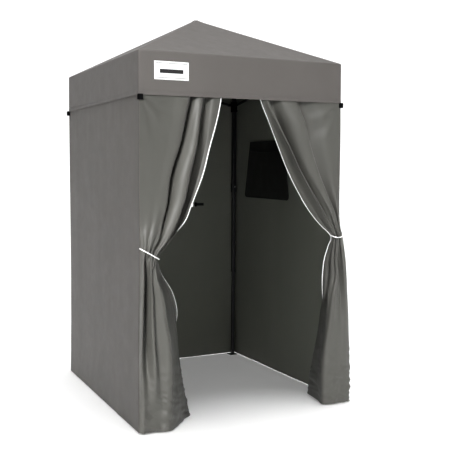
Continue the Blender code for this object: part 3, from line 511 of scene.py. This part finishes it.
def curtain_grid(rows, tie, seed):
    """The curtain's cloth as a grid of points, corner seam first, top row first."""
    cage = []
    for outer_z, inner_z, folds in rows:
        shares = np.linspace(0, 1, len(folds))
        cage.append([(x, y, outer_z + (inner_z - outer_z) * s) for (x, y), s in zip(folds, shares)])
    cage = np.array(cage)
    knots = -cage[:, :, 2].mean(axis=1)
    at = np.linspace(knots[0], knots[-1], CURTAIN_STEPS)
    columns = [hermite(knots, cage[:, i], at) for i in range(cage.shape[1])]
    grid = np.array([across([column[i] for column in columns], PER_FOLD) for i in range(CURTAIN_STEPS)])
    normal = normals_of(grid)
    if normal[CURTAIN_STEPS // 4, 30, 1] > 0:
        normal = -normal
    under_valance = np.clip((1.77 - grid[:, :, 2]) / 0.14, 0, 1)
    last = grid.shape[1] - 1
    for i in range(CURTAIN_STEPS):
        for j in range(last + 1):
            x, y, z = grid[i, j]
            share = j / last
            held = min(1.0, share * 9) * (0.35 + 0.65 * min(1.0, (1 - share) * 9))
            out = pleats(share, z, tie, seed) + crumples(x, y, z, share, seed) * held
            grid[i, j] = grid[i, j] + normal[i, j] * out * under_valance[i, j]
    grid[:, :, 1] = np.maximum(grid[:, :, 1], np.vectorize(front_limit)(grid[:, :, 2]))
    grid[:, :, 2] = np.maximum(grid[:, :, 2], HEM_Z)
    return grid


def curtain(side, rows, leg):
    grid = curtain_grid(rows, TIE_Z[side], 1.0 if side == "left" else 4.0)
    piece = cloth_sheet("door_curtain_" + side, grid, CURTAIN_CLOTH, CURTAIN_BACK, flip=(side == "right"))
    edge, inward = grid[:, -1], grid[:, -1] - grid[:, -4]
    binding = tube("door_binding_" + side, edge[::2], (0.0031, 0.0020), BINDING, steps=10, sides=inward[::2])
    for part in (piece, binding):
        folds_to(part, leg)
    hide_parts("curtain_" + side)
    return grid


left_grid = curtain("left", LEFT_ROWS, "front_left")
right_grid = curtain("right", RIGHT_ROWS, "front_right")


def seam_at(grid):
    """The curtain's corner seam as (x, y) by height."""
    line = grid[::-1, 0]
    return lambda z: (float(np.interp(z, line[:, 2], line[:, 0])), float(np.interp(z, line[:, 2], line[:, 1])))


# --- tie-back cords ---

TIES = {
    "left": [
        (-0.6085, -0.6140, 0.9410), (-0.6075, -0.6300, 0.9390), (-0.5990, -0.6470, 0.9330), (-0.5800, -0.6560, 0.9220), (-0.5560, -0.6580, 0.9080),
        (-0.5330, -0.6550, 0.8950), (-0.5160, -0.6440, 0.8870), (-0.5110, -0.6280, 0.8860), (-0.5190, -0.6140, 0.8910), (-0.5370, -0.6060, 0.9000), (-0.5600, -0.6040, 0.9120), (-0.5840, -0.6045, 0.9260), (-0.6010, -0.6075, 0.9360),
    ],
    "right": [
        (0.6140, -0.6150, 0.9820), (0.6210, -0.6300, 0.9800), (0.6180, -0.6480, 0.9740), (0.6060, -0.6600, 0.9660), (0.5880, -0.6660, 0.9590),
        (0.5690, -0.6650, 0.9560), (0.5520, -0.6560, 0.9580), (0.5410, -0.6410, 0.9640), (0.5400, -0.6240, 0.9700), (0.5510, -0.6110, 0.9730), (0.5700, -0.6050, 0.9740), (0.5880, -0.6040, 0.9750), (0.6040, -0.6065, 0.9780),
    ],
}
TIE_RADIUS = 0.0030
for side, points in TIES.items():
    path = across(points, 6)
    leg = "front_" + side
    cord = tube("tie_cord_" + side, path, (TIE_RADIUS, TIE_RADIUS), CORD_COVER, steps=12, up=(0.1, 0.2, 1))
    folds_to(cord, leg)
    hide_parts("tieback_" + side)


# --- walls ---


def wall_grid(across_to, face, seed, columns=84, rows=96, top=WALL_TOP_Z):
    """Wall points, top first; face(u, z) gives (x, y) for u from 0 to 1 along the wall and across_to the outward direction."""
    grid = np.zeros((rows, columns, 3))
    for i, z in enumerate(np.linspace(top, HEM_Z, rows)):
        for j, u in enumerate(np.linspace(0, 1, columns)):
            x, y = face(u, z)
            pinned = 1 - abs(2 * u - 1) ** 10
            loose = min(1.0, (top - z) / 0.35)
            wave = 0.0075 * bend_noise(u * 3.4, 0, z * 0.9, seed) + 0.0030 * bend_noise(u * 11, 0, z * 1.5, seed + 1)
            puckers = 0.0035 * bend_noise(u * 30, 0, z * 3.0, seed + 2) * math.exp(-((abs(z - 1.66) / 0.12) ** 2))
            hem = 0.0030 * bend_noise(u * 24, 0, z * 6, seed + 3) * max(0.0, 1 - z / 0.20)
            out = (wave * loose + puckers + hem) * pinned
            out = max(-0.0004, min(out, 0.0002 + 0.02 * max(0.0, 1.71 - z)))  # clear of the sliders inside and the valance outside
            grid[i, j] = (x + across_to[0] * out, y + across_to[1] * out, z)
    return grid


left_seam, right_seam = seam_at(left_grid), seam_at(right_grid)


def flared(z):
    """A back corner's distance from the centre planes."""
    return 0.6075 + 0.0075 * max(0.0, 1 - z / 0.9) ** 2


def left_face(u, z):
    x, y = left_seam(z)
    return (-flared(z) * u + x * (1 - u), flared(z) * u + (y + 0.001) * (1 - u))


def right_face(u, z):
    x, y = right_seam(z)
    return (flared(z) * u + x * (1 - u), flared(z) * u + (y + 0.001) * (1 - u))


def back_face(u, z):
    return (-flared(z) + 2 * flared(z) * u, flared(z))


WALLS = {  # side: (face, outward, leg, squash axis, flip, seed)
    "left": (left_face, (-1, 0), "front_left", (0, 1, 0), True, 11.0),
    "right": (right_face, (1, 0), "back_right", (0, 1, 0), False, 15.0),
    "back": (back_face, (0, 1), "back_left", (1, 0, 0), True, 21.0),
}
for side, (face, outward, leg, axis, flip, seed) in WALLS.items():
    grid = wall_grid(outward, face, seed)
    piece = cloth_sheet("wall_cloth_" + side, grid, WALL_OUTSIDE, WALL_INSIDE_PAINTED_LIGHTER, flip=flip)
    folds_to(piece, leg)
    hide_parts("wall_" + side)

# corner seams: the cloth edges bound together, standing a little proud
SEAM_PATHS = {
    "front_left": lambda z: (left_seam(z)[0] - 0.0014, left_seam(z)[1] - 0.0006),
    "front_right": lambda z: (right_seam(z)[0] + 0.0014, right_seam(z)[1] - 0.0006),
    "back_left": lambda z: (-flared(z) - 0.0006, flared(z) + 0.0006),
    "back_right": lambda z: (flared(z) + 0.0006, flared(z) + 0.0006),
}
for corner, at in SEAM_PATHS.items():
    line = [(*at(z), z) for z in np.linspace(1.705, HEM_Z + 0.002, 60)]
    seam = tube("corner_seam_" + corner, line, (0.0026, 0.0018), WALL_OUTSIDE, steps=8, up=(0.3, 1, 0))
    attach(seam, "leg_" + corner)


# --- hem stitching: one thread line a little above each lower edge ---


def thread_line(name, path, leg):
    stitches = tube(name, path, (0.0006, 0.0004), THREAD, steps=6, up=(0, 0, 1))
    folds_to(stitches, leg)


for side, (quarters, leg) in SIDES.items():
    z = VALANCE_Z + 0.021
    down = (EAVE_Z - EAVE_ROUND - z) / (EAVE_Z - EAVE_ROUND - VALANCE_Z)
    line = [(x, y - sway(x, z, quarters) * down - 0.0009, z) for x, y in ring(HALF + 0.0015 * down, CORNER_ROUND, 90)[4:-4]]
    thread_line("valance_stitch_" + side, turned(line, quarters), leg)
for side, (face, outward, leg, axis, flip, seed) in WALLS.items():
    row = wall_grid(outward, face, seed)[-2]
    line = [(x + 0.0009 * outward[0], y + 0.0009 * outward[1], z) for x, y, z in row[2:-2]]
    thread_line("wall_stitch_" + side, line, leg)


# --- pocket on the right wall, inside ---

POCKET = [(0.434, 1.150), (0.364, 1.524), (-0.050, 1.524), (-0.112, 1.145)]  # (y, z): low far, high far, high near, low near
POCKET_X = 0.5985


def pocket_point(u, v):
    """u from the far side to the near side, v from the top to the bottom."""
    (ya, za), (yb, zb), (yc, zc), (yd, zd) = POCKET
    top = (yb + (yc - yb) * u, zb + (zc - zb) * u)
    low = (ya + (yd - ya) * u, za + (zd - za) * u)
    return top[0] + (low[0] - top[0]) * v, top[1] + (low[1] - top[1]) * v


def pocket_sheet(name, v_range, bulge, lift, droop, material, rows=26, columns=36):
    grid = np.zeros((rows, columns, 3))
    for i, v in enumerate(np.linspace(*v_range, rows)):
        for j, u in enumerate(np.linspace(0, 1, columns)):
            y, z = pocket_point(u, v)
            dome = math.sin(math.pi * u) ** 0.6 * math.sin(math.pi * (0.15 + 0.85 * v)) ** 0.6 if 0 < u < 1 else 0.0
            ripple = 0.003 * bend_noise(y * 16, 0, z * 9, 31.0)
            corner = max(0.0, v - 0.93) / 0.07
            pull = 0.5 + (u - 0.5) * (1 - 0.05 * corner**2)
            y = pocket_point(pull, v)[0]
            z -= droop * math.sin(math.pi * u) * (1 - (v - v_range[0]) / (v_range[1] - v_range[0]))
            grid[i, j] = (POCKET_X - lift - bulge * dome - ripple * dome, y, z)
    return cloth_sheet(name, grid, material, flip=True)


back_panel = pocket_sheet("pocket_panel", (0.0, 1.0), 0.002, 0.0, 0.0, POCKET_CLOTH)
pouch = pocket_sheet("pocket_pouch", (0.15, 1.0), 0.012, 0.003, 0.016, POCKET_CLOTH)
trim = [(0.0, v) for v in np.linspace(0, 0.95, 24)] + [(0.008, 0.982)]
trim += [(u, 1.0) for u in np.linspace(0.03, 0.97, 30)] + [(0.992, 0.982)] + [(1.0, v) for v in np.linspace(0.95, 0, 24)]
outline = [(POCKET_X - 0.004, *pocket_point(u, v)) for u, v in trim]
pocket_trim = tube("pocket_binding", outline, (0.0045, 0.0025), WEBBING, steps=10, up=(1, 0, 0))
mouth = [(POCKET_X - 0.006 - 0.010 * math.sin(math.pi * u) ** 0.6, pocket_point(u, 0.15)[0], pocket_point(u, 0.15)[1] - 0.016 * math.sin(math.pi * u)) for u in np.linspace(0.005, 0.995, 40)]
mouth_trim = tube("pocket_mouth_binding", mouth, (0.0025, 0.0055), WEBBING, steps=10, up=(0, 0, 1))
for piece in (back_panel, pouch, pocket_trim, mouth_trim):
    folds_to(piece, "back_right")
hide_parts("wall_pocket")


# --- small parts: corner clips, toggle strap, plain patch ---


def rounded_block(name, centre, size, radius, material, turn=0.0):
    """A block with rounded edges, as a bevelled mesh."""
    sx, sy, sz = (s / 2 for s in size)
    c, s = math.cos(turn), math.sin(turn)
    corners = [(x * sx, y * sy, z * sz) for x in (-1, 1) for y in (-1, 1) for z in (-1, 1)]
    vertices = [(centre[0] + c * x - s * y, centre[1] + s * x + c * y, centre[2] + z) for x, y, z in corners]
    faces = [(0, 1, 3, 2), (4, 6, 7, 5), (0, 4, 5, 1), (2, 3, 7, 6), (0, 2, 6, 4), (1, 5, 7, 3)]
    made = link(name, vertices, faces, [material])
    bevel = made.modifiers.new("edges", "BEVEL")
    bevel.width, bevel.segments = radius, 3
    bpy.context.view_layer.update()
    mesh = bpy.data.meshes.new_from_object(made.evaluated_get(bpy.context.evaluated_depsgraph_get()))
    made.modifiers.clear()
    made.data = mesh
    return made


CLIP_PLACES = {"front_left": (-0.6010, -0.6110), "front_right": (0.6125, -0.6050), "back_left": (-0.6125, 0.6040), "back_right": (0.6060, 0.6110)}
for corner, (x, y) in CLIP_PLACES.items():
    body = rounded_block("corner_clip_" + corner, (x, y, 1.695), (0.026, 0.020, 0.028), 0.0035, BLACK_MOULDED)
    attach(body, "leg_" + corner)

strap = rounded_block("toggle_strap", (0.320, 0.6035, 1.092), (0.072, 0.0045, 0.019), 0.0018, WEBBING)
toggle = rounded_block("toggle", (0.293, 0.6005, 1.092), (0.012, 0.009, 0.030), 0.0035, BLACK_MOULDED)
for piece in (strap, toggle):
    folds_to(piece, "back_left")

tab = rounded_block("binding_tab", (-0.313, -0.6075, 1.152), (0.009, 0.004, 0.016), 0.0015, BINDING, turn=0.2)
folds_to(tab, "front_left")

PATCH = (-0.526, -0.337, 1.784, 1.875)


def patch_piece(name, x0, x1, z0, z1, lift, material):
    grid = np.zeros((10, 18, 3))
    for i, z in enumerate(np.linspace(z1, z0, 10)):
        for j, x in enumerate(np.linspace(x0, x1, 18)):
            down = (EAVE_Z - EAVE_ROUND - z) / (EAVE_Z - EAVE_ROUND - VALANCE_Z)
            grid[i, j] = (x, -HALF - 0.0015 * down - sway(x, z, 0) * down - lift, z)
    piece = cloth_sheet(name, grid, material, thickness=0.0010)
    folds_to(piece, "front_left")
    return piece


x0, x1, z0, z1 = PATCH
patch = patch_piece("patch_base", x0, x1, z0, z1, 0.0016, PATCH_WHITE)
frame_in, frame_w = 0.0085, 0.0022
prints = [
    patch_piece("patch_line_top", x0 + frame_in, x1 - frame_in, z1 - frame_in - frame_w, z1 - frame_in, 0.0024, PATCH_INK),
    patch_piece("patch_line_bottom", x0 + frame_in, x1 - frame_in, z0 + frame_in, z0 + frame_in + frame_w, 0.0024, PATCH_INK),
    patch_piece("patch_band", x0 + 0.030, x1 - 0.030, z0 + 0.032, z0 + 0.052, 0.0024, PATCH_INK),
]


# --- floor, light, camera ---

floor_material, floor_tree, floor_shader = shader_material("studio_floor", (0.93, 0.93, 0.93), 0.75, Specular_IOR_Level=0.2)
place = node(floor_tree, "ShaderNodeTexCoord").outputs["Object"]
bumped(floor_tree, floor_shader, [(noise_at(floor_tree, mapped(floor_tree, place, (1, 1, 1)), 9.0, 4.0), 0.02, 0.001)])
floor = link("studio_floor", [(-40, -40, 0), (40, -40, 0), (40, 40, 0), (-40, 40, 0)], [(0, 1, 2, 3)], [floor_material], uvs=[(0, 0)] * 4)

scene = bpy.context.scene
world = scene.world or bpy.data.worlds.new("studio")
scene.world = world
world.use_nodes = True
world_tree = world.node_tree
world_tree.nodes.clear()
surroundings = node(world_tree, "ShaderNodeBackground", Color=(1.0, 1.0, 1.0, 1.0), Strength=0.30)
backdrop = node(world_tree, "ShaderNodeBackground", Color=(1.0, 1.0, 1.0, 1.0), Strength=1.05)
seen = node(world_tree, "ShaderNodeLightPath").outputs["Is Camera Ray"]
chosen = node(world_tree, "ShaderNodeMixShader")
world_tree.links.new(seen, chosen.inputs[0])
world_tree.links.new(surroundings.outputs[0], chosen.inputs[1])
world_tree.links.new(backdrop.outputs[0], chosen.inputs[2])
world_tree.links.new(chosen.outputs[0], node(world_tree, "ShaderNodeOutputWorld").inputs["Surface"])


def distant(name, azimuth, elevation, strength, spread, lights=None):
    """A soft distant light from azimuth (from the front towards the left) and elevation, in degrees; it lights only the objects in lights, if given."""
    light = bpy.data.lights.new(name, "SUN")
    light.energy, light.angle = strength, math.radians(spread)
    made = bpy.data.objects.new(name, light)
    a, e = math.radians(azimuth), math.radians(elevation)
    towards = Vector((-math.sin(a) * math.cos(e), -math.cos(a) * math.cos(e), math.sin(e)))
    made.rotation_euler = towards.to_track_quat("Z", "Y").to_euler()
    made.location = towards * 8
    scene.collection.objects.link(made)
    if lights is not None:
        made.light_linking.receiver_collection = lights


def group(name, members):
    """A collection for light linking."""
    made = bpy.data.collections.new(name)
    for member in members:
        made.objects.link(member)
    return made


UNLIT = ("wall_cloth_right", "wall_cloth_back", "pocket_", "toggle", "studio_", "door_", "tie_cord")
meshes = [thing for thing in scene.collection.objects if thing.type == "MESH"]
tent = group("tent_outside", [m for m in meshes if not m.name.startswith(UNLIT)])
left_door = group("left_door", [m for m in meshes if m.name in ("door_curtain_left", "door_binding_left", "tie_cord_left")])
right_door = group("right_door", [m for m in meshes if m.name in ("door_curtain_right", "door_binding_right", "tie_cord_right")])
ground = group("ground", [floor])
key = bpy.data.lights.new("key", "AREA")
key.shape, key.size, key.energy = "SQUARE", 2.2, 150
key_object = bpy.data.objects.new("key", key)
key_object.location = (-1.5, -4.6, 2.9)
key_object.rotation_euler = (Vector((0, 0, 1.1)) - key_object.location).to_track_quat("-Z", "Y").to_euler()
scene.collection.objects.link(key_object)
key_object.light_linking.receiver_collection = tent
distant("door_left_key", 46, 26, 4.0, 18, lights=left_door)
distant("door_right_key", 14, 26, 2.6, 16, lights=right_door)
distant("overhead", 0, 88, 2.25, 30)
unseen = group("right_and_back", [m for m in meshes if m.name in ("wall_cloth_right", "wall_cloth_back", "cover_eave_right", "cover_eave_back", "corner_seam_back_right", "wall_stitch_right", "wall_stitch_back")])
distant("side_fill", -128, 30, 1.35, 40, lights=unseen)
distant("floor_fill", 0, 88, 0.60, 30, lights=ground)
bpy.data.lights["floor_fill"].use_shadow = False

camera_data = bpy.data.cameras.new("camera")
camera_data.sensor_width = 36.0
camera_data.lens = 57.0
camera_data.shift_x = 0.1087
camera_data.clip_end = 200.0
camera = bpy.data.objects.new("camera", camera_data)
camera.location = (-1.938, -3.994, 1.338)
camera.rotation_euler = (math.radians(90 - 4.77), 0, math.radians(-24.66))
scene.collection.objects.link(camera)
scene.camera = camera
scene.view_settings.view_transform = "Standard"
scene.view_settings.look = "Medium High Contrast"
